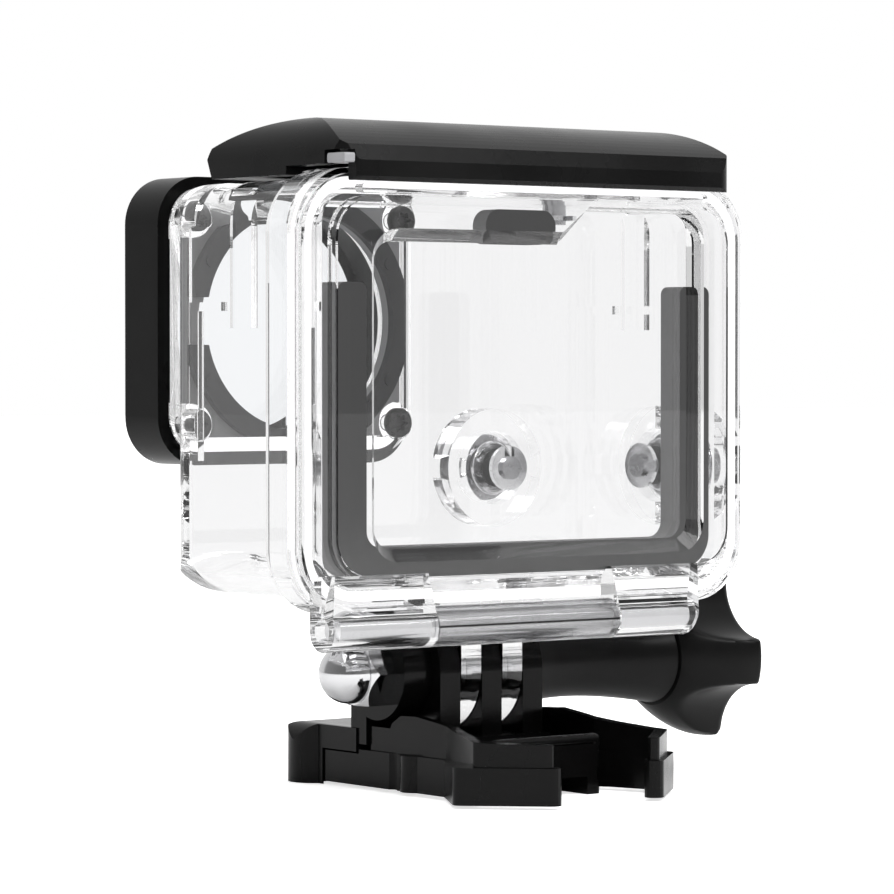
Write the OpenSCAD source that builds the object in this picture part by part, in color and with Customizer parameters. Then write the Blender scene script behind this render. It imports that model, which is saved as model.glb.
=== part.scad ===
// Empty clear waterproof housing for an action camera, standing on a quick-release buckle.
// Millimetres. +Z is up, the lens port faces -Y, the hinged door faces +Y and the port is on
// the +X side. The origin is on the ground, straight below the clamp screw's axis.

/* [Housing] */
// Width of the door and of the flange that it seals on
flange_w = 70; // [69:0.5:72]
// Height of the door and of the flange
flange_h = 53.3; // [53:0.1:54]
// Corner radius of the door and of the flange
flange_r = 8; // [7:0.5:9]
// Width of the camera box in front of the flange
shell_w = 65; // [64:0.5:65]
// Wall thickness of the clear mouldings
wall = 2; // [1.8:0.1:2.2]
// Depth from the door's outer face to the front wall's outer face
shell_depth = 32.2; // [32:0.1:32.6]
// Radius of the camera box's long edges
edge_r = 5; // [4:0.5:6]

/* [Lens port] */
// Distance of the port's centre from the middle of the housing
port_x = 14.3; // [14:0.1:14.6]
// Height of the port's centre above the ground
port_z = 58.3; // [58:0.1:58.5]
// Width of the port's black bezel
bezel_w = 37.5; // [37:0.1:38]
// Height of the port's black bezel
bezel_h = 36; // [35.5:0.1:36.5]
// Depth of the bezel in front of its gasket
bezel_depth = 7.4; // [7:0.1:8]
// Radius of the clear view through the port
window_r = 13.5; // [12.5:0.1:13.8]

/* [Door] */
// Thickness of the door at its raised centre
door_t = 4; // [3.8:0.1:4.2]
// Height of the raised centre over the door's rim
plateau_t = 1.4; // [1:0.1:1.6]
// Depth of the window recess in the raised centre
recess_t = 1.7; // [1.4:0.1:2]
// Thickness of the rubber cushion that presses on the camera
pad_t = 3.7; // [3:0.1:4]

/* [Latch] */
// Height of the latch's crown above the ground
latch_top = 82.5; // [82:0.1:83]
// Wall thickness of the latch cover
latch_wall = 1.7; // [1.5:0.1:2]

/* [Buttons] */
// Outer radius of the guard collar around a button
collar_r = 7.7; // [7.4:0.1:7.9]
// Radius of a button's cap
cap_r = 4.3; // [4:0.1:4.5]
// Inward travel of a button
press = 1.5; // [1:0.1:1.6]

/* [Mount] */
// Height of the clamp screw's axis above the ground
screw_z = 14.8; // [14.7:0.1:15]
// Thickness of one mounting prong
prong_t = 3.1; // [3:0.05:3.15]
// Radius of a mounting prong's rounded end
prong_r = 7.5; // [7.3:0.1:7.6]
// Radius of the clamp screw
bolt_r = 2.5; // [2.4:0.05:2.5]
// Length of the thumb screw's sleeve and knob
knob_len = 34; // [33:0.2:34.4]
// Radius over the knob's lobes
knob_r = 11; // [10.5:0.1:11]

/* [Buckle] */
// Half the width of the buckle's nose
nose_x = 14.2; // [14:0.1:14.4]
// Front end of the buckle
buckle_front = -18.6; // [-18.8:0.1:-18.4]
// Height of the squeeze fingers' lower band above the ground
band_z = 4.9; // [4.8:0.1:5.1]

/* [Hidden] */
$fn = 64;

fit_gap = 0.06;
seam = 0.3;
clear_colour = [0.88, 0.90, 0.92, 0.45];

// Housing levels, from the door forwards and from the ground up
door_y1 = 17;
door_y0 = door_y1 - door_t;
rim_y = door_y1 - plateau_t;
flange_t = 5;
flange_y1 = door_y0 - seam;
flange_y0 = flange_y1 - flange_t;
front_y = door_y1 - shell_depth;
flange_x = flange_w / 2;
flange_z0 = 23;
flange_z1 = flange_z0 + flange_h;
shell_x = shell_w / 2;
shell_z0 = flange_z0 + 1.7;
shell_z1 = flange_z1 - 1.1;

// Lens port, from its mounting face outwards
port_y0 = front_y - 1.8;
port_floor = 1.8;
port_inset = 1.3;
port_x0 = port_x - bezel_w / 2 + port_inset;
port_x1 = port_x + bezel_w / 2 - port_inset;
port_z0 = port_z - bezel_h / 2 + port_inset;
port_z1 = port_z + bezel_h / 2 - port_inset;
gasket_t = 0.5;
bezel_y1 = port_y0 - gasket_t;
bezel_y0 = bezel_y1 - bezel_depth;
screw_dx = 14.6;
screw_dz = 12.9;
retainer_t = 1.3;
retainer_y1 = port_y0 + port_floor + retainer_t;

// Door hinge
hinge_y = 17.2;
hinge_z = 21.5;
hinge_r = 2.5;
pin_r = 1.4;
knuckle_x0 = -10.8;
knuckle_x1 = 17.6;
hinge_x0 = -24.8;
hinge_x1 = 33;

// Latch pivot and outline
latch_x0 = -30;
latch_x1 = 31;
latch_step_x = 4;
pivot_y = -7.2;
pivot_z = 77.2;
latch_pin_r = 1;
lug_x0 = 12;
lug_x1 = 22;
lug_r = 1.9;
latch_rear = 19;
lip_z = 74.6;
under_z = flange_z1 + seam;

// Buttons: [x, y, z] of each cap's centre on the wall's outer face
mode_at = [-16.9, front_y, 39.4];
side_at = [-shell_x, 1, 39.8];
shutter_at = [-18, -4.2, shell_z1];
stem_r = 1.5;
collar_h = 3.4;
cap_t = 1.3;
cap_lift = 1.9;
clip_r = 2.9;
clip_t = 0.6;
stem_end = wall + 1.2 + clip_t + 0.6;
spring_r = 3.3;
wire_r = 0.35;

// Mount stack along the clamp screw
prong_pitch = 6.5;
outer_face = prong_pitch + prong_t / 2;
nut_face = outer_face + 4.4;
washer_t = 0.5;
nut_af = 8;
nut_h = 3.5;

// Buckle
nose_z = 7.6;
block_x = 12.5;
block_y1 = -4;
deck_x = 8.4;
deck_y1 = 18.9;
deck_z = 6.8;
root = [9.9, -11.2];
root_r = 2.3;
root_z = 4.35;
foot_gap = 0.4;
arm_x = 11.35;
arm_t = 1.9;
bend = [11.35, 14.5];
ear_corner = [15.8, 21.9];
ear_tip = [8, 29.2];
ear_t = 2.4;

// ---- helpers ----

// Rectangle with round corners, from x0 to x1 and z0 to z1
module round_rect(x0, x1, z0, z1, r) {
    translate([x0 + r, z0]) square([x1 - x0 - 2 * r, z1 - z0]);
    translate([x0, z0 + r]) square([x1 - x0, z1 - z0 - 2 * r]);
    for (x = [x0 + r, x1 - r], z = [z0 + r, z1 - r])
        translate([x, z]) circle(r);
}

// Extrudes an outline drawn in X and Z from y0 to y1
module along_y(y0, y1)
    translate([0, y1, 0]) rotate([90, 0, 0]) linear_extrude(y1 - y0) children();

// Extrudes an outline drawn in Y and Z from x0 to x1
module along_x(x0, x1)
    translate([x0, 0, 0]) rotate([90, 0, 90]) linear_extrude(x1 - x0) children();

// Extrudes an outline drawn in X and Y from z0 to z1
module along_z(z0, z1)
    translate([0, 0, z0]) linear_extrude(z1 - z0) children();

// Rod along X
module x_rod(x0, x1, y, z, r)
    translate([x0, y, z]) rotate([0, 90, 0]) cylinder(r = r, h = x1 - x0);

// Rod along Y
module y_rod(y0, y1, x, z, r)
    translate([x, y1, z]) rotate([90, 0, 0]) cylinder(r = r, h = y1 - y0);

// Turns a shape drawn outwards along +Z so that it points out of the wall at a button
module out_of_front() translate(mode_at) rotate([90, 0, 0]) children();
module out_of_side() translate(side_at) rotate([0, -90, 0]) children();
module out_of_top() translate(shutter_at) children();

// Flat ring from z0 to z1
module ring(z0, z1, r_out, r_in)
    translate([0, 0, z0]) linear_extrude(z1 - z0) difference() {
        circle(r_out);
        circle(r_in);
    }

// ---- housing ----

// Camera box with round edges, made smaller by inset on every side but the rear
module camera_box(inset, y1) {
    x = shell_x - inset;
    z0 = shell_z0 + inset;
    z1 = shell_z1 - inset;
    y0 = front_y + inset;
    intersection() {
        along_y(y0, y1) round_rect(-x, x, z0, z1, edge_r - inset * 0.75);
        along_x(-x, x) round_rect(y0, y1 + 20, z0, z1, 2.6 - inset * 0.75);
        along_x(-x, x) round_rect(y0, y1 + 20, z0, z1 + 20, 6 - inset);
        along_z(z0, z1) round_rect(-x, x, y0, y1 + 20, 2.6 - inset * 0.75);
    }
}

module flange_outline(shrink)
    round_rect(-flange_x + shrink, flange_x - shrink, flange_z0 + shrink, flange_z1 - shrink,
        flange_r - shrink);

module port_outline(inset, r)
    round_rect(port_x0 + inset, port_x1 - inset, port_z0 + inset, port_z1 - inset, r);

module at_port_screws()
    for (sx = [-1, 1], sz = [-1, 1])
        translate([port_x + sx * screw_dx, 0, port_z + sz * screw_dz]) children();

// Guard collar with two notches, and the bushing inside the wall
module button_guard(notched = true) difference() {
    union() {
        translate([0, 0, -0.2]) cylinder(r = collar_r, h = collar_h + 0.2);
        translate([0, 0, -wall - 1.2]) cylinder(r = stem_r + 1.4, h = 1.4);
    }
    translate([0, 0, 0]) cylinder(r = cap_r + 0.5, h = collar_h + 1);
    if (notched)
        for (s = [-1, 1])
            translate([s * (cap_r + collar_r + 1) / 2 - 2.5, -1.3, collar_h - 1.6]) cube([5, 2.6, 3]);
}

module stem_hole() translate([0, 0, -wall - 2]) cylinder(r = stem_r + fit_gap, h = wall + 4);

// Groove in the wall's outer face that holds the stem's ring seal
module seal_groove() translate([0, 0, -0.8]) cylinder(r = stem_r + 1, h = 1);

// Clear prong of the mount, blended into the floor of the box
module shell_prong(x)
    along_x(x - prong_t / 2, x + prong_t / 2) {
        translate([0, screw_z]) circle(prong_r);
        polygon([[-prong_r, screw_z], [prong_r, screw_z], [prong_r, 21.5], [prong_r + 2, shell_z0 + 0.4],
            [-prong_r - 2, shell_z0 + 0.4], [-prong_r, 21.5]]);
    }

// Central knuckle of the door hinge, on a web under the flange
module shell_knuckle() {
    x0 = knuckle_x0 + 0.2;
    x1 = knuckle_x1 - 0.2;
    x_rod(x0, x1, hinge_y, hinge_z, hinge_r);
    along_x(x0, x1)
        polygon([[hinge_y, hinge_z - hinge_r + 0.3], [hinge_y, hinge_z + 1], [flange_y1, hinge_z + 1.1],
            [flange_y1, flange_z0 + 0.5], [flange_y0 + 0.6, flange_z0 + 0.5], [flange_y0 + 1.4, 20.6],
            [12.5, hinge_z - hinge_r + 0.3]]);
}

// Lug that carries the latch
module latch_lug()
    along_x(lug_x0, lug_x1) {
        translate([pivot_y, pivot_z]) circle(lug_r);
        translate([pivot_y - lug_r, shell_z1 - 1.4]) square([2 * lug_r, pivot_z - shell_z1 + 1.4]);
    }

// Guide ribs that steady the camera along both side walls, with a shelf between them
module guide_ribs()
    for (s = [-1, 1]) translate([s * (shell_x - wall) - 0.9, 0, 0]) {
        translate([0, -3.8, 57.3]) cube([1.8, 4.5, shell_z1 - 58.3]);
        translate([0, front_y + 2, 41]) cube([1.8, 2.4, 19.5]);
        translate([0, front_y + 2, 59.4]) cube([1.8, 7.5, 1.1]);
    }

module housing_shell() color(clear_colour) {
    difference() {
        union() {
            camera_box(0, flange_y0 + 2);
            along_y(flange_y0 + 0.9, flange_y1) flange_outline(0);
            along_y(flange_y0, flange_y0 + 0.9) flange_outline(0.8);
            along_y(port_y0, front_y + wall) port_outline(0, 5);
            out_of_front() button_guard();
            out_of_side() button_guard();
            out_of_top() button_guard(false);
            for (s = [-1, 1]) shell_prong(s * prong_pitch / 2);
            shell_knuckle();
        }
        camera_box(wall, flange_y1 + 1);
        along_y(port_y0 + port_floor, front_y + wall + 1) port_outline(wall, 3.5);
        y_rod(port_y0 - 1, port_y0 + 4, port_x, port_z, window_r + 1);
        at_port_screws() y_rod(port_y0 - 1, port_y0 + 4, 0, 0, 1);
        at_port_screws() y_rod(retainer_y1, front_y + wall + 2, 0, 0, 2.15);
        out_of_front() { stem_hole(); seal_groove(); }
        out_of_side() { stem_hole(); seal_groove(); }
        out_of_top() { stem_hole(); seal_groove(); }
        x_rod(-10, 10, 0, screw_z, bolt_r + fit_gap);
        x_rod(knuckle_x0, knuckle_x1, hinge_y, hinge_z, pin_r);
        x_rod(latch_step_x - 1, latch_x1 + 1, pivot_y, pivot_z, 3.5);
    }
    difference() {
        union() {
            latch_lug();
            at_port_screws() y_rod(port_y0 + port_floor - 0.1, retainer_y1, 0, 0, 2.6);
            guide_ribs();
            for (s = [-1, 1])
                translate([s * 21 - 1, front_y + wall - 0.2, shell_z0 + wall - 0.2]) cube([2, 17, 1.6]);
        }
        at_port_screws() y_rod(port_y0 - 1, port_y0 + 5, 0, 0, 1);
        at_port_screws() y_rod(retainer_y1, front_y + wall + 2, 0, 0, 2.15);
        x_rod(lug_x0 - 1, lug_x1 + 1, pivot_y, pivot_z, latch_pin_r);
    }
}

// ---- lens port ----

module lens_bezel() color([0.03, 0.03, 0.03]) difference() {
    along_y(bezel_y0, bezel_y1)
        round_rect(port_x - bezel_w / 2, port_x + bezel_w / 2, port_z - bezel_h / 2, port_z + bezel_h / 2, 6);
    y_rod(bezel_y0 - 1, bezel_y1 + 1, port_x, port_z, window_r + 0.3);
    y_rod(bezel_y0 + 1.6, bezel_y0 + 3.6, port_x, port_z, window_r + 1.6);
    y_rod(bezel_y0 + 3.5, bezel_y1 + 1, port_x, port_z, window_r + 1);
    translate([port_x, bezel_y0 + 1.6, port_z]) rotate([90, 0, 0])
        cylinder(r1 = window_r + 0.3, r2 = window_r + 2.2, h = 1.61);
    at_port_screws() y_rod(bezel_y1 - 4, bezel_y1 + 1, 0, 0, 0.9);
}

module lens_glass() color([0.9, 0.95, 1, 0.3])
    y_rod(bezel_y0 + 1.6, bezel_y0 + 3.6, port_x, port_z, window_r + 1.6);

module lens_gasket() color([0.08, 0.08, 0.08])
    along_y(bezel_y1, port_y0) difference() {
        port_outline(0.4, 4.6);
        translate([port_x, port_z]) circle(window_r + 1);
        for (sx = [-1, 1], sz = [-1, 1])
            translate([port_x + sx * screw_dx, port_z + sz * screw_dz]) circle(1.1);
    }

module lens_retainer() color([0.36, 0.36, 0.37])
    along_y(port_y0 + port_floor, retainer_y1) difference() {
        port_outline(wall + 0.2, 3.3);
        translate([port_x, port_z]) circle(window_r);
        for (sx = [-1, 1], sz = [-1, 1])
            translate([port_x + sx * screw_dx, port_z + sz * screw_dz]) circle(2.7);
    }

// Bumper ring, split on the +X side, with four locating studs
module lens_ring() color([0.18, 0.18, 0.19]) {
    ring_r = window_r + 2.6;
    stud_angle = 30;
    along_y(retainer_y1, retainer_y1 + 1.1) difference() {
        intersection() {
            translate([port_x, port_z]) circle(ring_r);
            port_outline(wall + 0.25, 3.2);
        }
        translate([port_x, port_z]) circle(window_r);
        translate([port_x, port_z - 3]) square([ring_r + 1, 5.9]);
        for (sx = [-1, 1], sz = [-1, 1])
            translate([port_x + sx * screw_dx, port_z + sz * screw_dz]) circle(2.75);
    }
    for (a = [stud_angle, 180 - stud_angle, 180 + stud_angle, 360 - stud_angle])
        y_rod(retainer_y1 + 1.1, retainer_y1 + 1.35, port_x + (window_r + 1.3) * cos(a),
            port_z + (window_r + 1.3) * sin(a), 0.8);
}

module lens_screws() color([0.12, 0.12, 0.12])
    at_port_screws() difference() {
        union() {
            y_rod(bezel_y1 - 3.9, retainer_y1, 0, 0, 0.9);
            y_rod(retainer_y1, retainer_y1 + 1.2, 0, 0, 1.9);
        }
        translate([0, retainer_y1 + 1.3, 0]) rotate([90, 30, 0]) cylinder(r = 0.9, h = 0.8, $fn = 6);
    }

// ---- buttons ----

// Cap on a stem, drawn outwards along +Z from the wall's outer face
module button() difference() {
    union() {
        translate([0, 0, cap_lift]) cylinder(r = cap_r, h = cap_t - 0.3);
        translate([0, 0, cap_lift + cap_t - 0.3]) cylinder(r1 = cap_r, r2 = cap_r - 0.3, h = 0.3);
        translate([0, 0, -stem_end]) cylinder(r = stem_r, h = stem_end + cap_lift + 0.3);
    }
    translate([0, 0, cap_lift + cap_t + 6.6]) sphere(r = 7);
    translate([0, 0, cap_lift - 0.1]) ring(0, 0.5, spring_r + wire_r + 0.1, spring_r - wire_r - 0.1);
}

// Snap ring in the stem's groove
module button_clip() translate([0, 0, -wall - 1.2 - clip_t - 0.1]) difference() {
    cylinder(r = clip_r, h = clip_t);
    translate([0, 0, -1]) cylinder(r = stem_r, h = clip_t + 2);
    translate([-0.8, 0, -1]) cube([1.6, clip_r + 1, clip_t + 2]);
}

// Space of the return spring between the wall and the cap
module button_spring() ring(0.05, cap_lift + 0.3, spring_r + wire_r, spring_r - wire_r);

module button_seal() ring(-0.8, -0.05, stem_r + 1, stem_r + 0.03);

module mode_button() color([0.55, 0.55, 0.56]) out_of_front() button();
module mode_clip() color([0.7, 0.7, 0.72]) out_of_front() button_clip();
module mode_spring() color([0.6, 0.6, 0.62]) out_of_front() button_spring();
module mode_seal() color([0.1, 0.1, 0.1]) out_of_front() button_seal();
module side_button() color([0.55, 0.55, 0.56]) out_of_side() button();
module side_clip() color([0.7, 0.7, 0.72]) out_of_side() button_clip();
module side_spring() color([0.6, 0.6, 0.62]) out_of_side() button_spring();
module side_seal() color([0.1, 0.1, 0.1]) out_of_side() button_seal();
module shutter_button() color([0.55, 0.55, 0.56]) out_of_top() button();
module shutter_clip() color([0.7, 0.7, 0.72]) out_of_top() button_clip();
module shutter_spring() color([0.6, 0.6, 0.62]) out_of_top() button_spring();
module shutter_seal() color([0.1, 0.1, 0.1]) out_of_top() button_seal();

// ---- door ----

plateau_x = flange_x - 4;
plateau_z0 = flange_z0 + 4.3;
plateau_z1 = flange_z1 - 3.4;

// Main part of the window recess
module window_low(grow)
    round_rect(-25 - grow, 24 + grow, 30.8 - grow, 67.6 + grow, 2.5 + grow);

// Raised part of the window recess on the -X side, cut off at a slant
module window_high(grow) {
    z2 = 71.8 + min(grow, 0.7);
    translate([-22.5, z2 - 2.5 - grow]) circle(2.5 + grow);
    polygon([[-25 - grow, 60], [-25 - grow, z2 - 2.5 - grow], [-22.5, z2], [-8.6 + grow * 0.4, z2],
        [-4 + grow * 1.2, 67.6 + grow * 0.2], [-4 + grow * 1.2, 60]]);
}

// Recess with sloping sides, wide at the door's outer face
module window_recess() {
    floor_y = door_y1 - recess_t;
    hull() {
        along_y(floor_y, floor_y + 0.1) window_low(0);
        along_y(door_y1 + 0.2, door_y1 + 0.3) window_low(recess_t);
    }
    hull() {
        along_y(floor_y, floor_y + 0.1) window_high(0);
        along_y(door_y1 + 0.2, door_y1 + 0.3) window_high(recess_t);
    }
}

// Outer knuckle of the hinge with its flap on the door's outer face, for X from x0 to x1
module door_knuckle(x0, x1) {
    x_rod(x0, x1, hinge_y, hinge_z, hinge_r);
    along_x(x0, x1)
        polygon([[14.75, hinge_z], [hinge_y + hinge_r - 0.1, hinge_z + 0.5],
            [door_y1 + 0.7, plateau_z0 + 0.6], [rim_y - 1, plateau_z0 + 0.6], [14.75, flange_z0 + 0.5]]);
}

module door_panel() color(clear_colour) difference() {
    union() {
        along_y(door_y0, rim_y - 0.8) flange_outline(0);
        along_y(rim_y - 0.8, rim_y) flange_outline(0.7);
        along_y(rim_y, door_y1 - 0.5)
            round_rect(-plateau_x, plateau_x, plateau_z0, plateau_z1, 5);
        along_y(door_y1 - 0.5, door_y1)
            round_rect(-plateau_x + 0.5, plateau_x - 0.5, plateau_z0 + 0.5, plateau_z1 - 0.5, 4.5);
        along_y(rim_y - 0.5, door_y1 + 0.1) round_rect(-27, 27, plateau_z1 + 0.35, plateau_z1 + 1.4, 0.5);
        door_knuckle(knuckle_x1, hinge_x1);
        door_knuckle(hinge_x0, knuckle_x0);
    }
    window_recess();
    along_y(door_y0 - 1, door_y0 + 0.8) gasket_outline();
    x_rod(knuckle_x0, knuckle_x1, hinge_y, hinge_z, hinge_r + seam);
    along_x(knuckle_x0, knuckle_x1)
        translate([door_y0 - 1, 19]) square([hinge_y + hinge_r - door_y0 + 1, 4.1]);
    x_rod(hinge_x0 - 1, hinge_x1 + 1, hinge_y, hinge_z, pin_r + fit_gap);
    // Slanted ends of both flaps
    along_y(door_y1 + 0.1, hinge_y + 4)
        polygon([[hinge_x1, hinge_z + 1], [hinge_x1 - 1.7, 28.5], [hinge_x1 + 1, 28.5],
            [hinge_x1 + 1, hinge_z + 1]]);
    along_y(rim_y, hinge_y + 4)
        polygon([[hinge_x0, 27.6], [hinge_x0 + 2.2, 18.5], [hinge_x0 - 1, 18.5], [hinge_x0 - 1, 27.6]]);
}

module gasket_outline() difference() {
    flange_outline(1.1);
    flange_outline(2.4);
}

module door_gasket() color([0.05, 0.05, 0.05])
    along_y(flange_y1 + 0.05, door_y0 + 0.8) gasket_outline();

module door_pad_u() color([0.22, 0.22, 0.23]) along_y(door_y0 - pad_t, door_y0) {
    x0 = -29.3;
    x1 = 28.8;
    band = 4.2;
    z0 = 27.3;
    z1 = 62.7;
    difference() {
        round_rect(x0, x1, z0, z1 + 6, 4);
        round_rect(x0 + band, x1 - band, z0 + 3.7, z1 + 12, 2);
        translate([x0 - 1, z1 - 1]) square([x1 - x0 + 2, 9]);
    }
    for (x = [x0, x1 - band])
        round_rect(x, x + band, z1 - 4, z1, 1);
}

module door_pad_top() color([0.22, 0.22, 0.23])
    along_y(door_y0 - 2.6, door_y0) round_rect(-4.3, 6.6, 67.6, 71.8, 2);

module hinge_pin() color([0.8, 0.8, 0.82])
    x_rod(hinge_x0 + 2.4, hinge_x1 - 1.4, hinge_y, hinge_z, pin_r);

// ---- latch ----

// Crown of the latch, as a curve of height over Y
function crown(y) = latch_top - 0.0125 * pow(max(0, 7 - y), 2) - 0.028 * pow(max(0, y - 7), 2);

// Outside of the latch in Y and Z, from its front edge at y0, drawn smaller by inset
module latch_section(y0, inset) {
    rear_top = 18.4 - inset;
    polygon(concat(
        [[y0 + inset + 1, shell_z1 + 0.35], [y0 + inset, crown(y0) - 1.1 - inset]],
        [for (i = [0:32]) let (y = y0 + inset + 0.6 + (rear_top - y0 - inset - 0.6) * i / 32)
            [y, crown(y) - inset]],
        [[latch_rear - inset, 77], [latch_rear - inset, lip_z + 0.5], [latch_rear - inset - 0.5, lip_z],
            [latch_rear - latch_wall + 0.1, lip_z], [latch_rear - latch_wall, lip_z + 0.2],
            [latch_rear - latch_wall, under_z], [7.1, under_z], [7.1, shell_z1 + 0.35]]));
}

module latch_cover() color([0.04, 0.04, 0.04]) difference() {
    intersection() {
        union() {
            along_x(latch_step_x, latch_x1) latch_section(pivot_y - 2.4, 0);
            along_x(latch_x0, latch_step_x + 1) intersection() {
                latch_section(pivot_y - 2.4, 0);
                round_rect(5.2, latch_rear + 6, lip_z - 5, latch_top + 0.05, 2);
            }
        }
        along_y(-20, 30) round_rect(latch_x0, latch_x1, lip_z - 12, latch_top + 0.1, 5);
        along_z(60, 90) round_rect(latch_x0, latch_x1, pivot_y - 20, latch_rear, 2.6);
    }
    latch_hollow();
    // Slot for the lug and bore for the pin
    translate([lug_x0 - 0.3, pivot_y - 5, 70]) cube([lug_x1 - lug_x0 + 0.6, 5 + lug_r + 0.6, 20]);
    x_rod(lug_x0 - 5, lug_x1 + 5, pivot_y, pivot_z, latch_pin_r + fit_gap);
    // Notch in the +X end that shows the link
    along_x(latch_x1 - 1.8, latch_x1 + 1) translate([15, lip_z - 1]) square([6, 4.6]);
    along_x(latch_x1 - 3.1, latch_x1 - 1) translate([14, under_z - 1]) square([3.3, 2.6]);
}

// Space under the crown
module latch_hollow() {
    front_hollow = pivot_y + 5.2;
    along_x(latch_step_x + latch_wall, latch_x1 - 3)
        polygon([[front_hollow, 70], [front_hollow, crown(front_hollow) - 1.9], [7, latch_top - 1.9],
            [12, crown(12) - 1.9], [latch_rear - latch_wall, 77.6], [latch_rear - latch_wall, 76], [7, 70]]);
    along_x(latch_x0 + 2.6, latch_step_x + latch_wall + 0.1)
        polygon([[7, 70], [7, latch_top - 2.2], [12, crown(12) - 1.9], [latch_rear - latch_wall, 77.6],
            [latch_rear - latch_wall, 76]]);
}

// Clear over-centre link carried inside the latch
module latch_link() color([0.8, 0.8, 0.8]) {
    along_x(-18, latch_x1 - 1.5)
        round_rect(14.5, latch_rear - latch_wall - 0.4, under_z + 0.05, under_z + 0.95, 0.4);
    along_x(latch_x1 - 1.6, latch_x1 - 0.1)
        round_rect(15.4, latch_rear - 0.1, under_z + 0.05, under_z + 1.2, 0.3);
}

module latch_pin() color([0.75, 0.75, 0.77])
    x_rod(lug_x0 - 4.5, lug_x1 + 4.5, pivot_y, pivot_z, latch_pin_r);

// ---- clamp screw ----

module acorn_nut() color([0.85, 0.85, 0.87]) difference() {
    union() {
        intersection() {
            translate([nut_face, 0, screw_z]) rotate([0, 90, 0])
                rotate(30) cylinder(r = nut_af / 2 / cos(30), h = nut_h, $fn = 6);
            translate([nut_face - 0.01, 0, screw_z]) rotate([0, 90, 0])
                cylinder(r1 = nut_af / 2 + 3, r2 = nut_af / 2 - 0.1, h = nut_h + 0.02);
        }
        x_rod(nut_face + nut_h - 0.1, nut_face + nut_h + 0.6, 0, screw_z, nut_af / 2 - 0.25);
        translate([nut_face + nut_h + 0.6, 0, screw_z]) sphere(r = nut_af / 2 - 0.25);
    }
    x_rod(nut_face - 1, nut_face + 5.6, 0, screw_z, bolt_r + fit_gap);
}

module thumb_bolt() color([0.75, 0.75, 0.77])
    x_rod(-outer_face - 12, nut_face + 5.2, 0, screw_z, bolt_r);

module thumb_washer() color([0.75, 0.75, 0.77])
    translate([-outer_face - washer_t, 0, screw_z]) rotate([0, 90, 0]) ring(0, washer_t - 0.06, 4.9, bolt_r);

knob_x1 = -outer_face - washer_t;
knob_x0 = -outer_face - knob_len - 0.6;
collar_x = -33;
waist_r = 4.5;

// Radius of the sleeve at X: full at both ends, with a waist between
function sleeve_r(x) = waist_r + 0.7 * pow(max(0, (x + 17) / (knob_x1 + 17)), 2)
    + 1.7 * pow(max(0, (x + 17) / (collar_x + 17)), 1.8);

// Radius of the bell that bounds the knob's lobes
function bell_r(t) = 6 + (knob_r - 6) * pow(sin(90 * t), 0.85);

module thumb_knob() color([0.05, 0.05, 0.05])
    translate([0, 0, screw_z]) difference() {
        union() {
            rotate([0, -90, 0]) rotate_extrude()
                polygon(concat([[0, -knob_x1]],
                    [for (i = [0:16]) let (x = knob_x1 + (collar_x - knob_x1) * i / 16)
                        [sleeve_r(x), -x]],
                    [[5.4, -collar_x + 1.4], [0, -collar_x + 1.4]]));
            intersection() {
                rotate([0, -90, 0]) rotate_extrude()
                    polygon(concat([[0, -collar_x - 1.2]],
                        [for (i = [0:14])
                            [bell_r(i / 14), -collar_x - 1.2 + (-knob_x0 + collar_x - 0.2) * i / 14]],
                        [[knob_r - 0.9, -knob_x0 + 0.0], [7, -knob_x0 + 0.6], [0, -knob_x0 + 0.6]]));
                rotate([0, -90, 0]) linear_extrude(-knob_x0 + 1) difference() {
                    circle(knob_r + 0.1);
                    for (k = [0:3]) rotate(48 + 90 * k) translate([15.3, 0]) circle(7.9);
                }
            }
        }
        x_rod(-outer_face - 12, 0, 0, 0, bolt_r);
    }

// ---- buckle ----

// Prong of the buckle, from x0 to x1
module buckle_prong(x0, x1)
    along_x(x0, x1) {
        translate([0, screw_z]) circle(prong_r);
        translate([-prong_r, deck_z - 3]) square([2 * prong_r, screw_z - deck_z + 3]);
    }

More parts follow.
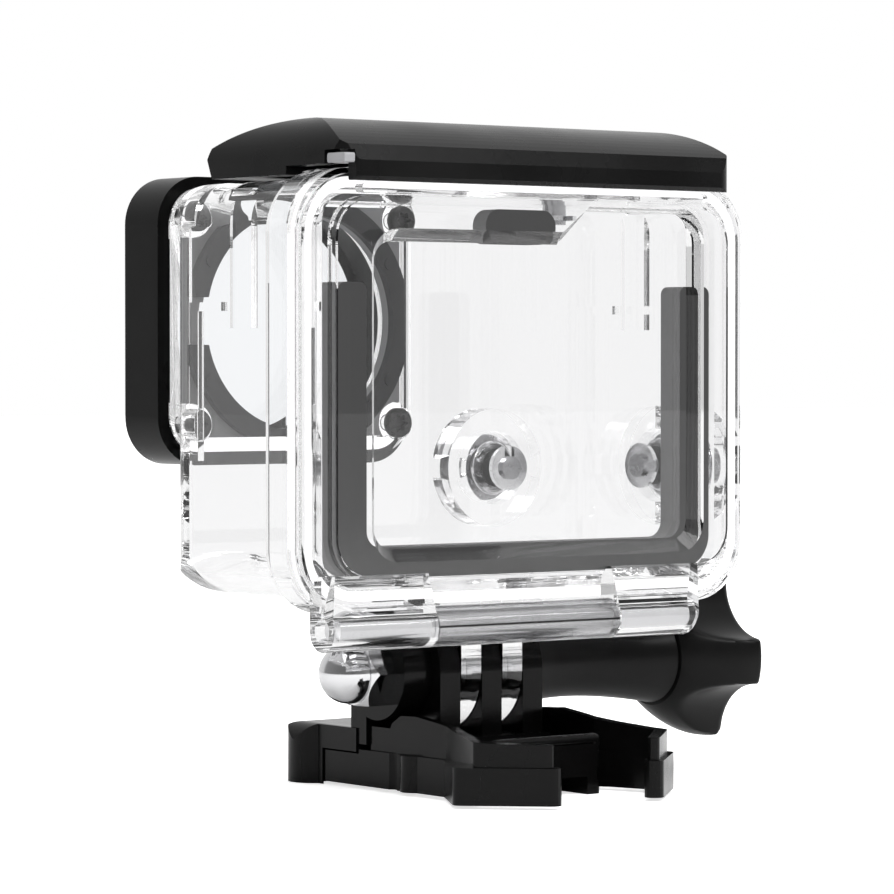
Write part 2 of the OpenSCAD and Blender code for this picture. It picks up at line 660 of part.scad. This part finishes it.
module buckle_base() color([0.04, 0.04, 0.04]) difference() {
    union() {
        // Nose with round ends and the block behind it
        intersection() {
            along_z(0, nose_z) {
                round_rect(-nose_x, nose_x, buckle_front, -11.6, 3.4);
                translate([-block_x, -15]) square([2 * block_x, block_y1 + 15]);
            }
            along_x(-15, 15) round_rect(buckle_front, 10, -6, nose_z, 2.5);
            along_y(-20, 10) round_rect(-nose_x, nose_x, -6, nose_z, 2.2);
        }
        along_z(0, deck_z) translate([-deck_x, -9]) square([2 * deck_x, 17.6]);
        // Rear of the deck, with a raised lip whose ends turn down
        along_z(0, deck_z - 0.6) round_rect(-deck_x, deck_x, 5, deck_y1, 1);
        x_rod(0.8 - deck_x, deck_x - 0.8, deck_y1 - 0.8, deck_z - 0.1, 0.75);
        for (s = [-1, 1])
            translate([s * (deck_x - 0.8), deck_y1 - 0.8, deck_z - 1]) {
                cylinder(r = 0.75, h = 0.9);
                translate([0, 0, 0.9]) sphere(r = 0.75);
            }
        for (x = [-prong_pitch, 0, prong_pitch]) buckle_prong(x - prong_t / 2, x + prong_t / 2);
        // Boss behind the nut, on a post
        x_rod(outer_face - 0.1, nut_face, 0, screw_z, 6);
        along_x(outer_face - 0.1, nut_face - 0.2) translate([-5.4, 5.6]) square([3.2, 5]);
    }
    x_rod(-20, nut_face + 1, 0, screw_z, bolt_r + fit_gap);
    // Rounded seats for the roots of the squeeze fingers, and the slots behind them
    for (s = [-1, 1]) {
        translate([s * root[0], root[1], -1]) cylinder(r = root_r + fit_gap, h = root_z + 1.25);
        translate([s > 0 ? deck_x : -nose_x - 1, root[1], -1])
            cube([nose_x + 1 - deck_x, block_y1 - root[1] + 1, root_z + 1.25]);
    }
    // Rail grooves along the deck, and the hollow under its rear
    for (s = [-1, 1])
        translate([s * deck_x - 0.9, -8.2, 1.6]) cube([1.8, 30, 1.7]);
    translate([2.4 - deck_x, 14, -1]) cube([2 * deck_x - 4.8, 8, 3.2]);
    // Gaps between the prongs reach down to the deck
    for (s = [-1, 1])
        translate([s * prong_pitch / 2 - (prong_pitch - prong_t) / 2, -12, deck_z])
            cube([prong_pitch - prong_t, 24, 16]);
}

// Point at distance d from p in direction a, and the points of an arc about c
function aside(p, a, d) = [p[0] + d * cos(a), p[1] + d * sin(a)];
function arc(c, r, a0, a1) = [for (i = [0:8]) aside(c, a0 + (a1 - a0) * i / 8, r)];

// Where the line through p in direction a meets the line through q in direction b
function meet(p, a, q, b) =
    aside(p, a, ((q[0] - p[0]) * sin(b) - (q[1] - p[1]) * cos(b)) / sin(b - a));

// Plan of an arm from x0 to x1 that starts at y0, flares out to a corner and folds back to a tip
module arm_plan(x0, x1, y0, corner, tip, t) {
    a = atan2(corner[1] - bend[1], corner[0] - bend[0]);
    b = atan2(tip[1] - corner[1], tip[0] - corner[0]);
    outer = aside(bend, a - 90, t / 2);
    inner = aside(bend, a + 90, t / 2);
    polygon(concat([[x0, y0], [x1, y0], meet([x1, 0], 90, outer, a)],
        arc(corner, t / 2, a - 90, b - 90), arc(tip, t / 2, b - 90, b + 90),
        [meet(aside(tip, b + 90, t / 2), b, inner, a), meet(inner, a, [x0, 0], 90)]));
}

// Plan of the finger's lower band, from its root to the tip of its ear
module band_plan() difference() {
    union() {
        translate(root) circle(root_r);
        arm_plan(arm_x - arm_t / 2, arm_x + arm_t / 2, root[1] + 0.4, ear_corner, ear_tip, ear_t);
        // Locking bump
        intersection() {
            translate([arm_x - 0.35, 6.6]) circle(2.1);
            translate([arm_x, 0]) square([5, 12]);
        }
    }
    translate([arm_x + 1.25, 3.4]) circle(0.8);
}

// Plan of the finger's upper spine, set in from the band
module spine_plan()
    arm_plan(arm_x - 0.75, arm_x + 0.45, -1.8, ear_corner + [-1.5, 1.2], ear_tip + [0.25, -0.4], 1.5);

// Squeeze finger on the +X side
module finger() intersection() {
    union() {
        along_z(foot_gap, band_z) band_plan();
        along_z(foot_gap, 12) spine_plan();
    }
    along_x(0, 20)
        polygon([[-16, 0], [-16, root_z], [block_y1 + 0.3, root_z], [block_y1 + 0.3, band_z], [-1.8, band_z],
            [-1.8, 7.9], [2.2, 7.9], [2.6, 8.6], [4.4, 9.6], [7.4, 9.7], [11.8, 9.2], [16.7, 8.5], [21.5, 8],
            [26, 7.7], [31, 7.6], [31, 0]]);
}

module buckle_finger_left() color([0.05, 0.05, 0.05]) finger();
module buckle_finger_right() color([0.05, 0.05, 0.05]) mirror([1, 0, 0]) finger();

housing_shell();
lens_bezel();
lens_glass();
lens_gasket();
lens_retainer();
lens_ring();
lens_screws();
hinge_pin();
latch_pin();
mode_button();
mode_clip();
mode_spring();
mode_seal();
side_button();
side_clip();
side_spring();
side_seal();
shutter_button();
shutter_clip();
shutter_spring();
shutter_seal();
door_panel();
door_gasket();
door_pad_u();
door_pad_top();
latch_cover();
latch_link();
buckle_base();
buckle_finger_left();
buckle_finger_right();
acorn_nut();
thumb_knob();
thumb_bolt();
thumb_washer();
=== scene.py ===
"""Empty clear camera housing on its quick-release buckle: materials, fine pieces, lights and camera."""

import math

import bmesh
import bpy
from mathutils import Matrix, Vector


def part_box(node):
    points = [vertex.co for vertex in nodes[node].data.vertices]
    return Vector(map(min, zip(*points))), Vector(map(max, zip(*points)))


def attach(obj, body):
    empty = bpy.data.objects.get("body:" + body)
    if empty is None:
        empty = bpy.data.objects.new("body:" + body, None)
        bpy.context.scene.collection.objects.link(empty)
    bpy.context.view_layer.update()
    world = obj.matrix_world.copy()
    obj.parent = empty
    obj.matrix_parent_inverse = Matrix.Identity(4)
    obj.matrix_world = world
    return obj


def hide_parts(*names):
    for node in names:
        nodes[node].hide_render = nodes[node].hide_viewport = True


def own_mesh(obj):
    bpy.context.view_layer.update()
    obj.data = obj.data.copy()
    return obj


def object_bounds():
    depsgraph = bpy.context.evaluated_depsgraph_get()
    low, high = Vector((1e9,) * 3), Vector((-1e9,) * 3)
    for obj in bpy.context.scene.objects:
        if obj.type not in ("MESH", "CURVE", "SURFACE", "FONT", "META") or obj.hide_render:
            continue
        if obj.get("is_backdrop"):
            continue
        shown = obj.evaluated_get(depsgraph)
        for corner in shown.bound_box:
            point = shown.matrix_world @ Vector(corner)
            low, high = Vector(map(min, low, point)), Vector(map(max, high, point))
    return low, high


MM = 0.001
SHARP = math.radians(35)
# Unit direction on the ground from the object towards the camera
CAMERA_SIDE = (0.609, 0.793)

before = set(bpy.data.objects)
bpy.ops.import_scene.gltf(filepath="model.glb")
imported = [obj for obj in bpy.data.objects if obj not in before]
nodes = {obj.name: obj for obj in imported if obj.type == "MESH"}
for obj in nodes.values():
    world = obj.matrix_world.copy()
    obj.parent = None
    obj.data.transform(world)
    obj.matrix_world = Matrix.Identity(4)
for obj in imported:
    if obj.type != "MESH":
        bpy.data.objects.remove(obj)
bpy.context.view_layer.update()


# ---------------------------------------------------------------- materials

def material(name, colour, rough, metal=0.0, ior=1.5):
    """A Principled material whose constant values sit on the shader's own sockets."""
    mat = bpy.data.materials.new(name)
    mat.use_nodes = True
    shader = mat.node_tree.nodes["Principled BSDF"]
    shader.inputs["Base Color"].default_value = (*colour, 1)
    shader.inputs["Roughness"].default_value = rough
    shader.inputs["Metallic"].default_value = metal
    shader.inputs["IOR"].default_value = ior
    return mat


def noise(mat, scale, detail=3.0, stretch=None):
    """A noise texture in object space; stretch scales its three axes."""
    tree = mat.node_tree
    coord = tree.nodes.new("ShaderNodeTexCoord")
    tex = tree.nodes.new("ShaderNodeTexNoise")
    tex.inputs["Scale"].default_value = scale
    tex.inputs["Detail"].default_value = detail
    if stretch:
        mapping = tree.nodes.new("ShaderNodeMapping")
        mapping.inputs["Scale"].default_value = stretch
        tree.links.new(coord.outputs["Object"], mapping.inputs["Vector"])
        tree.links.new(mapping.outputs["Vector"], tex.inputs["Vector"])
    else:
        tree.links.new(coord.outputs["Object"], tex.inputs["Vector"])
    return tex


def ramp(mat, source, stops):
    """A colour ramp fed by source; stops are (position, grey or colour)."""
    node = mat.node_tree.nodes.new("ShaderNodeValToRGB")
    while len(node.color_ramp.elements) < len(stops):
        node.color_ramp.elements.new(0.5)
    for element, (position, colour) in zip(node.color_ramp.elements, stops):
        element.position = position
        rgb = colour if isinstance(colour, tuple) else (colour,) * 3
        element.color = (*rgb, 1)
    mat.node_tree.links.new(source, node.inputs["Fac"])
    return node


def bump(mat, source, strength, distance):
    """Bump from a height source; distance is in metres."""
    tree = mat.node_tree
    node = tree.nodes.new("ShaderNodeBump")
    node.inputs["Strength"].default_value = strength
    node.inputs["Distance"].default_value = distance
    tree.links.new(source, node.inputs["Height"])
    tree.links.new(node.outputs["Normal"], tree.nodes["Principled BSDF"].inputs["Normal"])


def feed(mat, node, socket, output="Color"):
    mat.node_tree.links.new(node.outputs[output], mat.node_tree.nodes["Principled BSDF"].inputs[socket])


def moulded(name, colour, rough, spread, grain, grain_depth, mottle=0.25, sheen=0.5):
    """Moulded plastic or rubber: fine grain in the surface, uneven gloss and faint mottling."""
    mat = material(name, colour, rough)
    mat.node_tree.nodes["Principled BSDF"].inputs["Specular IOR Level"].default_value = sheen
    broad = noise(mat, 90, 4)
    gloss = ramp(mat, broad.outputs["Fac"], [(0.3, max(0.0, rough - spread)), (0.7, rough + spread)])
    feed(mat, gloss, "Roughness")
    low = tuple(c * (1 - mottle) for c in colour)
    high = tuple(c * (1 + mottle) for c in colour)
    feed(mat, ramp(mat, broad.outputs["Fac"], [(0.35, low), (0.65, high)]), "Base Color")
    fine = noise(mat, grain, 2)
    bump(mat, fine.outputs["Fac"], 0.35, grain_depth)
    return mat


def clear_plastic():
    """Polycarbonate: clear, with a faint moulded ripple, and with painted shade that darkens its colour at
    grazing angles.
    """
    mat = material("clear_polycarbonate", (1, 1, 1), 0.01)
    mat.node_tree.nodes["Principled BSDF"].inputs["Transmission Weight"].default_value = 1.0
    # Painted shade: the base colour darkens towards grazing angles and stands in for the dark edge lines
    # that reflections give
    edge = mat.node_tree.nodes.new("ShaderNodeLayerWeight")
    edge.inputs["Blend"].default_value = 0.35
    face_on, slanted, steep, grazing = (0.97, 0.97, 0.973), (0.955, 0.955, 0.958), (0.94, 0.94, 0.945), 0.7
    stops = [(0.0, face_on), (0.7, slanted), (0.92, steep), (1.0, grazing)]
    feed(mat, ramp(mat, edge.outputs["Facing"], stops), "Base Color")
    bump(mat, noise(mat, 60, 2).outputs["Fac"], 0.015, 0.0002)
    return mat


def painted_glow_through_plastic(mat, grey):
    """Adds light to a look for rays that come through the clear plastic, where it rendered nearly black.

    This makes the look depend on the view: the same piece is darker when it is seen directly.
    """
    tree = mat.node_tree
    path = tree.nodes.new("ShaderNodeLightPath")
    painted_glow_strength = tree.nodes.new("ShaderNodeMapRange")
    painted_glow_strength.inputs["To Max"].default_value = grey
    tree.links.new(path.outputs["Is Transmission Ray"], painted_glow_strength.inputs["Value"])
    # Painted glow: white emission whose strength rises from nothing to the given strength for rays that
    # come through the clear plastic
    tree.nodes["Principled BSDF"].inputs["Emission Color"].default_value = (1, 1, 1, 1)
    feed(mat, painted_glow_strength, "Emission Strength", "Result")


def port_glass():
    """Polished flat glass with faint smears."""
    mat = material("port_glass", (0.97, 0.985, 1.0), 0.0)
    mat.node_tree.nodes["Principled BSDF"].inputs["Transmission Weight"].default_value = 1.0
    smear = noise(mat, 70, 3)
    feed(mat, ramp(mat, smear.outputs["Fac"], [(0.4, 0.0), (0.8, 0.03)]), "Roughness")
    return mat


def steel(name, colour, rough, stretch):
    """Metal with fine turning or drawing lines along one direction."""
    mat = material(name, colour, rough, metal=1.0)
    lines = noise(mat, 900, 3, stretch)
    feed(mat, ramp(mat, lines.outputs["Fac"], [(0.3, rough * 0.6), (0.75, rough * 1.5)]), "Roughness")
    bump(mat, lines.outputs["Fac"], 0.12, 0.00003)
    return mat


looks = {
    "clear": clear_plastic(),
    "glass": port_glass(),
    "bezel": moulded("black_bezel", (0.004, 0.004, 0.004), 0.3, 0.05, 5000, 0.00001, sheen=0.08),
    "satin": moulded("black_satin", (0.005, 0.005, 0.005), 0.28, 0.05, 7000, 0.00001, sheen=0.1),
    "gloss": moulded("black_gloss", (0.003, 0.003, 0.003), 0.18, 0.06, 4000, 0.00001, sheen=0.12),
    "knob": moulded("black_knob", (0.005, 0.005, 0.005), 0.34, 0.06, 6000, 0.00002, sheen=0.12),
    "pad": moulded("grey_rubber", (0.14, 0.14, 0.143), 0.75, 0.08, 3800, 0.00002, 0.08, 0.2),
    "ring": moulded("dark_ring", (0.05, 0.05, 0.052), 0.6, 0.08, 4200, 0.00001, 0.08, 0.2),
    "plate": moulded("grey_plate", (0.27, 0.27, 0.275), 0.5, 0.06, 5000, 0.00002, 0.1),
    "seal": moulded("black_rubber", (0.012, 0.012, 0.012), 0.55, 0.08, 4200, 0.00002),
    "silicone": moulded("pale_silicone", (0.82, 0.82, 0.82), 0.4, 0.08, 2600, 0.00002, 0.04),
    "link": moulded("pale_link", (0.3, 0.3, 0.31), 0.4, 0.06, 3000, 0.00002, 0.06),
    "steel": steel("polished_steel", (0.72, 0.72, 0.73), 0.16, (0.03, 1, 1)),
    "chrome": steel("chrome", (0.6, 0.6, 0.61), 0.09, (1, 1, 1)),
    "button": steel("button_metal", (0.42, 0.42, 0.43), 0.22, (1, 1, 1)),
    "screw": steel("black_steel", (0.05, 0.05, 0.05), 0.35, (1, 1, 1)),
}

# Painted glow: these looks emit light, up to the given strength, where they are seen through the clear
# plastic
for look, grey in (("silicone", 0.55), ("pad", 0.06), ("plate", 0.01), ("link", 0.2)):
    painted_glow_through_plastic(looks[look], grey)

# What each CAD node shows: (material, bevel width in mm)
node_looks = {
    "housing_shell": ("clear", 0.3), "lens_bezel": ("bezel", 0.5), "lens_glass": ("glass", 0.15),
    "lens_gasket": ("silicone", 0.1), "lens_retainer": ("plate", 0.2), "lens_ring": ("ring", 0.2),
    "lens_screws": ("screw", 0.12), "hinge_pin": ("steel", 0.2), "latch_pin": ("steel", 0.2),
    "mode_button": ("button", 0.15), "mode_clip": ("steel", 0.08), "mode_spring": ("steel", 0),
    "mode_seal": ("seal", 0.1), "side_button": ("button", 0.15), "side_clip": ("steel", 0.08),
    "side_spring": ("steel", 0), "side_seal": ("seal", 0.1), "shutter_button": ("button", 0.15),
    "shutter_clip": ("steel", 0.08), "shutter_spring": ("steel", 0), "shutter_seal": ("seal", 0.1),
    "door_panel": ("clear", 0.35), "door_gasket": ("silicone", 0.15), "door_pad_u": ("pad", 0.45),
    "door_pad_top": ("pad", 0.45), "latch_cover": ("satin", 0.6), "latch_link": ("link", 0.15),
    "buckle_base": ("gloss", 0.35), "buckle_finger_left": ("gloss", 0.35),
    "buckle_finger_right": ("gloss", 0.35), "acorn_nut": ("chrome", 0.15), "thumb_knob": ("knob", 0.5),
    "thumb_bolt": ("steel", 0.1), "thumb_washer": ("steel", 0.05),
}


def smoothing():
    """A node group that shades everything smooth except edges sharper than SHARP."""
    group = bpy.data.node_groups.new("smooth_by_angle", "GeometryNodeTree")
    group.interface.new_socket("Geometry", in_out="INPUT", socket_type="NodeSocketGeometry")
    group.interface.new_socket("Geometry", in_out="OUTPUT", socket_type="NodeSocketGeometry")
    start = group.nodes.new("NodeGroupInput")
    end = group.nodes.new("NodeGroupOutput")
    angle = group.nodes.new("GeometryNodeInputMeshEdgeAngle")
    flat = group.nodes.new("FunctionNodeCompare")
    flat.data_type = "FLOAT"
    flat.operation = "LESS_EQUAL"
    flat.inputs["B"].default_value = SHARP
    edges = group.nodes.new("GeometryNodeSetShadeSmooth")
    edges.domain = "EDGE"
    faces = group.nodes.new("GeometryNodeSetShadeSmooth")
    faces.domain = "FACE"
    group.links.new(angle.outputs["Unsigned Angle"], flat.inputs["A"])
    group.links.new(flat.outputs["Result"], edges.inputs["Shade Smooth"])
    group.links.new(start.outputs["Geometry"], edges.inputs["Geometry"])
    group.links.new(edges.outputs["Geometry"], faces.inputs["Geometry"])
    group.links.new(faces.outputs["Geometry"], end.inputs["Geometry"])
    return group


smooth_group = smoothing()


def smoothed(obj):
    obj.modifiers.new("smooth_shading", "NODES").node_group = smooth_group


def dress(node, look, width):
    """Gives a CAD node its material, rounds its sharp edges and shades it smooth."""
    obj = nodes[node]
    obj.data.materials.clear()
    obj.data.materials.append(looks[look])
    if width:
        bevel = obj.modifiers.new("rounded_edges", "BEVEL")
        bevel.width = width * MM
        bevel.segments = 3
        bevel.limit_method = "ANGLE"
        bevel.angle_limit = SHARP
        bevel.harden_normals = False
    smoothed(obj)


for node, (look, width) in node_looks.items():
    dress(node, look, width)


# ---------------------------------------------------------------- fine pieces

def turned(steps):
    """Equally spaced angles round a circle."""
    return [2 * math.pi * j / steps for j in range(steps)]


def loft(bm, rings):
    """Adds a closed skin through rings of points to bm; all rings have the same number of points."""
    rows = [[bm.verts.new(point) for point in ring] for ring in rings]
    for lower, upper in zip(rows, rows[1:]):
        for j in range(len(lower)):
            k = (j + 1) % len(lower)
            bm.faces.new((lower[j], lower[k], upper[k], upper[j]))
    bm.faces.new(rows[0])
    bm.faces.new(rows[-1])


def piece(name, bm, look, body, node):
    """Turns bm into an object that rides body and stands in for the CAD's node."""
    bmesh.ops.recalc_face_normals(bm, faces=bm.faces)
    mesh = bpy.data.meshes.new(name)
    bm.to_mesh(mesh)
    bm.free()
    mesh.polygons.foreach_set("use_smooth", [True] * len(mesh.polygons))
    mesh.materials.append(looks[look])
    obj = bpy.data.objects.new(name, mesh)
    bpy.context.scene.collection.objects.link(obj)
    smoothed(obj)
    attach(obj, body)
    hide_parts(node)
    return obj


def coil(button, base, out):
    """Conical return spring that stands on base and rises along out, in place of the CAD's closed ring."""
    turns, steps, wire_r = 3, 48, 0.26 * MM
    wide, narrow = 3.35 * MM, 2.6 * MM
    low, high = 0.32 * MM, 1.5 * MM
    side = out.orthogonal().normalized()
    up = out.cross(side)
    rings = []
    for i in range(turns * steps + 1):
        t = i / (turns * steps)
        a = 2 * math.pi * turns * t
        radial = side * math.cos(a) + up * math.sin(a)
        centre = base + radial * (wide + (narrow - wide) * t) + out * (low + (high - low) * t)
        rings.append([centre + (radial * math.cos(b) + out * math.sin(b)) * wire_r for b in turned(10)])
    bm = bmesh.new()
    loft(bm, rings)
    obj = piece(button + "_coil", bm, "steel", "housing", button + "_spring")
    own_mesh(obj)


def springs():
    """A coil for each button, standing on the side of its box that is away from the cap."""
    for button, out in (("mode", (0, -1, 0)), ("side", (-1, 0, 0)), ("shutter", (0, 0, 1))):
        low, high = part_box(button + "_spring")
        base = (low + high) / 2
        for axis in range(3):
            if out[axis]:
                base[axis] = low[axis] if out[axis] > 0 else high[axis]
        coil(button, base, Vector(out))


def knob():
    """Thumb screw: a waisted sleeve that opens into a bell with four scooped lobes and a soft rim."""
    low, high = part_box("thumb_knob")
    axis_y, axis_z = (low.y + high.y) / 2, (low.z + high.z) / 2
    # Millimetres from here on; x runs from the sleeve's end to the rim, which is the lowest x
    crown_h = 0.6
    sleeve_end, front = high.x / MM, low.x / MM + crown_h
    waist_x, waist_r = -17, 4.5
    end_flare, bell_flare = 0.7, 1.7
    collar_x, bell_x = -33.0, -31.8
    bell_r, lobe_r = 6, 11.0
    scoops, scoop_at, scoop_r, first_scoop = 4, 15.3, 7.9, 48
    blend_r, groove = 0.22, 0.14
    sleeve_rings, bell_rings = 25, 37
    angles = turned(192)

    def sleeve(x):
        to_end = max(0, (x - waist_x) / (sleeve_end - waist_x))
        to_bell = max(0, (x - waist_x) / (collar_x - waist_x))
        return waist_r + end_flare * to_end ** 2 + bell_flare * to_bell ** 1.8

    def outline(angle):
        """Radius of the lobed head: a circle with round scoops taken out."""
        best = lobe_r
        for k in range(scoops):
            delta = angle - math.radians(first_scoop + 360 / scoops * k)
            inside = scoop_r ** 2 - (scoop_at * math.sin(delta)) ** 2
            if inside > 0 and math.cos(delta) > 0:
                best = min(best, scoop_at * math.cos(delta) - math.sqrt(inside))
        return best

    def soft_min(a, b):
        """The smaller of a and b, with a rounded change from one to the other."""
        least = min(a, b)
        return least - blend_r * math.log(math.exp((least - a) / blend_r) + math.exp((least - b) / blend_r))

    def round_section(x, radius):
        return x, [radius] * len(angles)

    sections = [round_section(sleeve_end, sleeve(sleeve_end) - 0.35),
                round_section(sleeve_end - 0.12, sleeve(sleeve_end) - 0.08)]
    first, last = sleeve_end - 0.4, bell_x + 0.02
    for i in range(sleeve_rings):
        x = first + (last - first) * i / (sleeve_rings - 1)
        sections.append(round_section(x, sleeve(x)))
    for x in (bell_x - 0.06, bell_x - 0.2):
        sections.append(round_section(x, sleeve(bell_x) - groove))
    first, last = bell_x - 0.3, front + 0.9
    for i in range(bell_rings):
        x = first + (last - first) * i / (bell_rings - 1)
        opened = math.sin(math.pi / 2 * min(1, (bell_x - x) / (bell_x - front))) ** 0.85
        full = bell_r + (lobe_r - bell_r) * opened
        sections.append((x, [soft_min(full, outline(a)) for a in angles]))
    rim = sections[-1][1]
    # The crown: share of the rim's radius, and height behind the front plane
    for share, behind in ((0.985, 0.6), (0.955, 0.3), (0.91, 0.08), (0.85, 0), (0.6, -0.3), (0.3, -0.5),
                          (0.02, -0.55)):
        sections.append((front + behind, [r * share for r in rim]))
    bm = bmesh.new()
    loft(bm, [[Vector((x * MM, axis_y + r * MM * math.sin(a), axis_z + r * MM * math.cos(a)))
               for a, r in zip(angles, radii)] for x, radii in sections])
    piece("knob_body", bm, "knob", "clamp_screw", "thumb_knob")


def port_screws():
    """Four port screws with six-lobed recesses, in place of the CAD's plain heads."""
    low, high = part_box("lens_screws")
    head_r, shank_r = 1.9 * MM, 0.9 * MM
    head_h, socket_h = 1.2 * MM, 0.8 * MM
    edge, rounding = 0.1 * MM, 0.3 * MM
    socket_r, lobe_h, lobes = 0.95 * MM, 0.2 * MM, 6
    socket_lip = 0.12 * MM
    angles = turned(96)
    socket = [socket_r + lobe_h * math.cos(lobes * a) for a in angles]

    def disc(radius):
        return [radius] * len(angles)

    # Radii at each depth below the head's face, from the tip of the shank to the recess's floor
    profile = [(high.y - low.y, disc(shank_r)), (head_h, disc(shank_r)), (head_h, disc(head_r - edge)),
               (head_h - edge, disc(head_r)), (0.25 * MM, disc(head_r)), (0.08 * MM, disc(head_r - edge)),
               (0, disc(head_r - rounding)), (0, [r + socket_lip for r in socket]), (0.08 * MM, socket),
               (socket_h, socket)]
    bm = bmesh.new()
    for x in (low.x + head_r, high.x - head_r):
        for z in (low.z + head_r, high.z - head_r):
            loft(bm, [[(x + r * math.cos(a), high.y - depth, z + r * math.sin(a))
                       for a, r in zip(angles, radii)] for depth, radii in profile])
    piece("port_screws", bm, "screw", "housing", "lens_screws")


springs()
knob()
port_screws()


# ---------------------------------------------------------------- stage, lights and camera

def floor():
    """Pale floor, brightest to the camera and unlit but glowing to rays that come through plastic."""
    half, clearance, white = 3.0, 0.00005, 0.93
    base_glow, camera_glow, through_glow = 0.12, 0.58, 0.87
    corners = [(-half, -half, 0), (half, -half, 0), (half, half, 0), (-half, half, 0)]
    mesh = bpy.data.meshes.new("floor")
    mesh.from_pydata(corners, [], [(0, 1, 2, 3)])
    obj = bpy.data.objects.new("floor", mesh)
    bpy.context.scene.collection.objects.link(obj)
    obj.location.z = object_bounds()[0][2] - clearance
    mat = material("pale_floor", (white, white, white), 0.6)
    tree = mat.node_tree
    shader = tree.nodes["Principled BSDF"]
    shader.inputs["Specular IOR Level"].default_value = 0.0
    shader.inputs["Emission Color"].default_value = (1, 1, 1, 1)
    path = tree.nodes.new("ShaderNodeLightPath")
    scatter = tree.nodes.new("ShaderNodeMapRange")
    scatter.inputs["To Min"].default_value = white
    scatter.inputs["To Max"].default_value = 0.0
    tree.links.new(path.outputs["Is Transmission Ray"], scatter.inputs["Value"])
    feed(mat, scatter, "Base Color", "Result")

    def multiply_add(ray, factor):
        node = tree.nodes.new("ShaderNodeMath")
        node.operation = "MULTIPLY_ADD"
        node.inputs[1].default_value = factor
        tree.links.new(path.outputs[ray], node.inputs[0])
        return node

    to_camera = multiply_add("Is Camera Ray", camera_glow)
    to_camera.inputs[2].default_value = base_glow
    glow = multiply_add("Is Transmission Ray", through_glow)
    tree.links.new(to_camera.outputs["Value"], glow.inputs[2])
    feed(mat, glow, "Emission Strength", "Value")
    mesh.materials.append(mat)
    obj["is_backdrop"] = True


def area_light(name, at, aim, size, power):
    data = bpy.data.lights.new(name, "AREA")
    data.shape = "RECTANGLE"
    data.size, data.size_y = size
    data.energy = power
    obj = bpy.data.objects.new(name, data)
    obj.location = at
    obj.rotation_euler = (Vector(aim) - Vector(at)).to_track_quat("-Z", "Y").to_euler()
    bpy.context.scene.collection.objects.link(obj)


def studio():
    """A white room for the camera, a bright one through plastic, and a half-dark one for reflections."""
    world = bpy.data.worlds.new("studio")
    world.use_nodes = True
    bpy.context.scene.world = world
    tree = world.node_tree
    back = tree.nodes["Background"]
    back.inputs["Strength"].default_value = 1.0
    coord = tree.nodes.new("ShaderNodeTexCoord")
    toward = tree.nodes.new("ShaderNodeVectorMath")
    toward.operation = "DOT_PRODUCT"
    toward.inputs[1].default_value = (*CAMERA_SIDE, 0.0)
    tree.links.new(coord.outputs["Generated"], toward.inputs[0])
    split = tree.nodes.new("ShaderNodeSeparateXYZ")
    tree.links.new(coord.outputs["Generated"], split.inputs["Vector"])

    def graded(source, stops):
        """A grey that follows source, whose range of -1 to 1 becomes 0 to 1; stops are (place, grey)."""
        spread = tree.nodes.new("ShaderNodeMapRange")
        spread.inputs["From Min"].default_value = -1
        tree.links.new(source, spread.inputs["Value"])
        band = tree.nodes.new("ShaderNodeValToRGB")
        while len(band.color_ramp.elements) < len(stops):
            band.color_ramp.elements.new(0.5)
        for element, (position, grey) in zip(band.color_ramp.elements, stops):
            element.position = position
            element.color = (grey, grey, grey, 1)
        tree.links.new(spread.outputs["Result"], band.inputs["Fac"])
        return band.outputs["Color"]

    def blended(a, factor, b=None):
        """Mixes a with b by factor. Without a b it mixes with white."""
        mix = tree.nodes.new("ShaderNodeMix")
        mix.data_type = "RGBA"
        tree.links.new(a, mix.inputs["A"])
        tree.links.new(factor, mix.inputs["Factor"])
        if b:
            tree.links.new(b, mix.inputs["B"])
        else:
            mix.inputs["B"].default_value = (1, 1, 1, 1)
        return mix.outputs["Result"]

    def lighter(a, b):
        mix = tree.nodes.new("ShaderNodeMix")
        mix.data_type = "RGBA"
        mix.blend_type = "LIGHTEN"
        mix.inputs["Factor"].default_value = 1.0
        tree.links.new(a, mix.inputs["A"])
        tree.links.new(b, mix.inputs["B"])
        return mix.outputs["Result"]

    room = graded(toward.outputs["Value"], [(0.0, 1.0), (0.3, 0.9), (0.42, 0.35), (1.0, 0.2)])
    ceiling = graded(split.outputs["Z"], [(0.0, 0.0), (0.72, 0.0), (0.82, 0.75), (1.0, 0.9)])
    reflected = lighter(room, ceiling)
    through = graded(toward.outputs["Value"], [(0.0, 1.0), (0.6, 0.97), (0.8, 0.7), (1.0, 0.65)])
    path = tree.nodes.new("ShaderNodeLightPath")
    indirect = blended(reflected, path.outputs["Is Transmission Ray"], through)
    tree.links.new(blended(indirect, path.outputs["Is Camera Ray"]), back.inputs["Color"])


def camera():
    data = bpy.data.cameras.new("camera")
    data.lens = 165.1
    data.sensor_width = 36
    data.clip_start, data.clip_end = 0.01, 20
    obj = bpy.data.objects.new("camera", data)
    obj.location = (0.3143, 0.4076, 0.0532)
    pitch = math.radians(1.19)
    level = math.cos(pitch)
    ahead = Vector((-CAMERA_SIDE[0] * level, -CAMERA_SIDE[1] * level, -math.sin(pitch)))
    obj.rotation_euler = ahead.to_track_quat("-Z", "Y").to_euler()
    bpy.context.scene.collection.objects.link(obj)
    bpy.context.scene.camera = obj


floor()
studio()
area_light("key_top", (0.15, 0.25, 0.75), (0, 0, 0.05), (0.6, 0.6), 4)
area_light("strip_high", (-0.1, 0.55, 0.5), (0, 0, 0.05), (0.7, 0.08), 2.5)
camera()
bpy.context.scene.view_settings.view_transform = "Standard"
cycles = bpy.context.scene.cycles
cycles.max_bounces = 32
cycles.glossy_bounces = 24
cycles.transmission_bounces = 32
